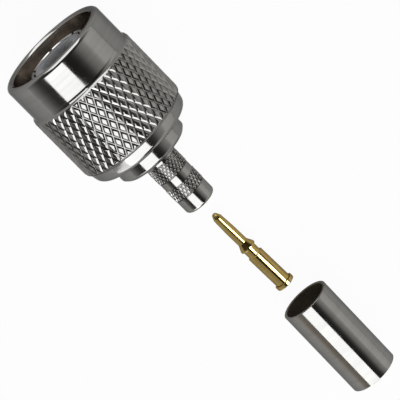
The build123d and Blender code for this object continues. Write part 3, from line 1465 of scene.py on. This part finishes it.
@dataclass
class Studio:
    """Floor, light and camera.

    Args:
        layout: Where the pieces lie.
        distance: Distance of the camera from its target, in millimetres.
        tilt: Angle of the camera from straight above, in degrees.
        roll: Turn of the picture about the line of sight, in degrees.
        aim: Station on the plug's axis that the camera looks at.
        lens: Focal length, in millimetres, on a 36 mm sensor.
        floor_color: Colour of the floor.
        floor_glow: Share of plain white that the camera sees in the floor.
        floor_shine: Share of plain white that reflections see in the floor.
        lamps: The soft boxes.
        sky: Radiance of the surround against the angle about X, in degrees from the top.
        sky_lean: How far the surround leans toward +Y on the nut's side, in degrees.
        lean_fade: Share of +X in a direction where the lean begins to fade, and where it ends.
        lean_onset: Angles about X, in radians, between which the lean sets in.
    """

    layout: Layout
    distance: float = 363.56
    tilt: float = 16.78
    roll: float = 45.45
    aim: float = 25.356
    lens: float = 281.9
    floor_color: Color = (0.75, 0.75, 0.75)
    floor_glow: float = 0.96
    floor_shine: float = 0.3
    lamps: tuple[SoftBox, ...] = (
        SoftBox("rear_box", (0.53, -0.365, 0.765), 0.585, 0.52, 3.5, spared=Loose.PIN),
        SoftBox("pin_box", (0.29, 0.343, 0.893), 0.45, 0.30, 15.0, card=True, only=Loose.PIN),
        SoftBox("pin_fill", (0.29, -0.784, 0.549), 0.80, 0.665, 0.50, card=True, only=Loose.PIN),
        SoftBox(
            "ferrule_fill", (0.349, -0.870, 0.348), 0.80, 0.40, 0.27, card=True,
            tone=(1.12, 1.0, 0.84), only=Loose.FERRULE,
        ),
        SoftBox("front_box", (-0.90, 0.09, 0.423), 0.534, 0.70, 2.9, card=True),
        SoftBox("low_box", (0.80, -0.565, 0.19), 0.42, 0.46, 2.5, card=True),
    )
    sky: tuple[tuple[float, float], ...] = (
        (-90.0, 0.56), (-84.0, 0.42), (-72.0, 0.18), (-62.0, 0.08), (-44.0, 0.08),
        (-4.0, 0.05), (4.0, 0.03), (16.0, 0.05), (24.0, 0.12), (36.0, 0.40),
        (49.0, 0.60), (57.0, 0.94), (72.0, 0.90), (90.0, 0.82),
    )
    sky_lean: float = 30.0
    lean_fade: tuple[float, float] = (-0.15, 0.25)
    lean_onset: tuple[float, float] = (-0.7, 0.1)

    def pale(self) -> bpy.types.Material:
        """Finish of the floor: matt, and plain white to a share for the camera and reflections.

        Returns:
            The material.
        """
        material, tree, shader = started("pale_floor")
        feed(tree, shader.inputs["Base Color"], self.floor_color)
        feed(tree, shader.inputs["Roughness"], 1.0)
        feed(tree, shader.inputs["Specular IOR Level"], 0.0)
        glow = tree.nodes.new("ShaderNodeEmission")
        feed(tree, glow.inputs["Color"], WHITE)
        feed(tree, glow.inputs["Strength"], 1.0)
        path = tree.nodes.new("ShaderNodeLightPath").outputs
        mirrored = worked(tree, "MAXIMUM", path["Is Glossy Ray"], path["Is Transmission Ray"])
        seen = worked(tree, "MULTIPLY", path["Is Camera Ray"], self.floor_glow)
        mix = tree.nodes.new("ShaderNodeMixShader")
        feed(tree, mix.inputs[0], worked(tree, "MULTIPLY_ADD", mirrored, self.floor_shine, seen))
        feed(tree, mix.inputs[1], shader.outputs[0])
        feed(tree, mix.inputs[2], glow.outputs[0])
        feed(tree, tree.nodes["Material Output"].inputs["Surface"], mix.outputs[0])
        return material

    def floor(self) -> bpy.types.Object:
        """Lay the plain pale floor.

        Returns:
            The floor.
        """
        bm = bmesh.new()
        bmesh.ops.create_grid(bm, x_segments=1, y_segments=1, size=1.0)
        mesh = bpy.data.meshes.new("floor_mesh")
        bm.to_mesh(mesh)
        bm.free()
        mesh.materials.append(self.pale())
        floor = bpy.data.objects.new("floor", mesh)
        bpy.context.scene.collection.objects.link(floor)
        return floor

    def surround(self) -> None:
        """Set the soft surround, a gradient of grey about the X axis."""
        scene = bpy.context.scene
        if scene.world is None:
            scene.world = bpy.data.worlds.new("surround")
        scene.world.use_nodes = True
        tree = scene.world.node_tree
        where = tree.nodes.new("ShaderNodeTexCoord")
        split = tree.nodes.new("ShaderNodeSeparateXYZ")
        tree.links.new(where.outputs["Generated"], split.inputs["Vector"])
        angle = worked(tree, "ARCTAN2", split.outputs["Y"], split.outputs["Z"])
        lean = mapped(tree, split.outputs["X"], *self.lean_fade, math.radians(self.sky_lean), 0.0)
        upper = mapped(tree, angle, *self.lean_onset)
        leant = worked(tree, "SUBTRACT", angle, worked(tree, "MULTIPLY", lean, upper))
        ramp = tree.nodes.new("ShaderNodeValToRGB")
        ramp.color_ramp.interpolation = "LINEAR"
        stops = ramp.color_ramp.elements
        while len(stops) < len(self.sky):
            stops.new(0.5)
        for stop, (degrees, _) in zip(stops, self.sky):
            stop.position = (degrees + 90.0) / 180.0
        for stop, (_, level) in zip(stops, self.sky):
            stop.color = (level, level, level, 1.0)
        feed(tree, ramp.inputs["Fac"], mapped(tree, leant, -math.pi / 2, math.pi / 2))
        path = tree.nodes.new("ShaderNodeLightPath")
        seen = blended(tree, path.outputs["Is Camera Ray"], ramp.outputs["Color"], WHITE)
        back = tree.nodes["Background"]
        feed(tree, back.inputs["Color"], seen)
        feed(tree, back.inputs["Strength"], 1.0)

    def camera(self) -> bpy.types.Object:
        """Set the camera where the photograph was taken from.

        Returns:
            The camera.
        """
        tilt = math.radians(self.tilt)
        roll = math.radians(self.roll)
        toward = Vector((-math.sin(tilt), 0.0, math.cos(tilt)))
        along = Vector((math.cos(tilt), 0.0, math.sin(tilt)))
        across = Vector((0.0, 1.0, 0.0))
        right = along * math.cos(roll) + across * math.sin(roll)
        up = across * math.cos(roll) - along * math.sin(roll)
        target = Vector((self.layout.front + self.aim, 0.0, self.layout.axis_height)) * MM
        data = bpy.data.cameras.new("camera")
        data.lens = self.lens
        data.sensor_width = 36.0
        data.clip_start = 0.01
        data.clip_end = 10.0
        camera = bpy.data.objects.new("camera", data)
        bpy.context.scene.collection.objects.link(camera)
        turn = Matrix((right, up, toward)).transposed().to_4x4()
        camera.matrix_world = Matrix.Translation(target + toward * self.distance * MM) @ turn
        bpy.context.scene.camera = camera
        return camera

    def build(self, loose: dict[Loose, bpy.types.Object]) -> None:
        """Set up the whole studio.

        Args:
            loose: The objects of the loose pieces, as some lamps are set for one of them.
        """
        self.camera()
        self.floor()
        self.surround()
        for lamp in self.lamps:
            lamp.build(loose)
        bpy.context.scene.view_settings.view_transform = "Standard"
        log.info("studio set up")


def main() -> None:
    """Build every piece and the studio."""
    logging.basicConfig(level=logging.INFO, format="%(name)s %(message)s")
    layout = Layout()
    plug_axis = tuple(Vector((0.0, 0.0, layout.axis_height)) * MM)
    nut = CouplingNut(layout)
    nut.build(TurnedMetal(
        "bright_nickel_nut", NICKEL, NICKEL_SHADE, middle=plug_axis, inner_r=nut.mouth_r,
        # Painted light: the mouth's inside is a lighter brown-grey than the plating, standing in for
        # the light seen in it.
        inner_end=layout.front + nut.groove_end, inner=(0.34, 0.30, 0.26), inner_rough=0.25,
    ).material())
    PlugBody(layout).build(TurnedMetal(
        "bright_nickel_body", NICKEL, NICKEL_SHADE, middle=plug_axis,
    ).material())
    SnapRing(layout).build(TurnedMetal(
        "bare_bronze", (0.42, 0.27, 0.14), (0.36, 0.22, 0.11), rough=0.28, middle=plug_axis,
    ).material())
    OuterContact(layout).build(TurnedMetal(
        "contact_nickel", (0.46, 0.45, 0.43), (0.42, 0.41, 0.39), rough=0.14, middle=plug_axis,
    ).material())
    Gasket(layout).build(Moulded(
        "red_silicone", (0.36, 0.045, 0.03), (0.30, 0.035, 0.025), 0.55,
    ).material())
    # The dielectric is white; its grey, slightly blue base colour is painted shade of the nut's mouth.
    Insulator(layout).build(Moulded(
        "dielectric_painted_shade", (0.61, 0.615, 0.63), (0.59, 0.595, 0.61), 0.45, depth=6.0,
    ).material())
    contact = CenterContact(layout)
    pin = contact.build(TurnedMetal(
        "gold_plating", (0.42, 0.30, 0.10), (0.37, 0.262, 0.086), rough=0.08,
        middle=tuple(contact.middle), turn=math.radians(layout.pin_turn),
    ).material())
    tube = CrimpFerrule(layout, contact)
    ferrule = tube.build(TurnedMetal(
        "bright_nickel_ferrule", NICKEL, NICKEL_SHADE,
        # Painted shade: the bore's inside is a dark brown.
        inner_r=tube.bore_r + tube.edge + LAP, inner=(0.20, 0.17, 0.13), inner_rough=0.5,
        middle=tuple(tube.middle), turn=math.radians(layout.ferrule_turn),
    ).material())
    Studio(layout).build({Loose.PIN: pin, Loose.FERRULE: ferrule})


if __name__ == "__main__":
    main()
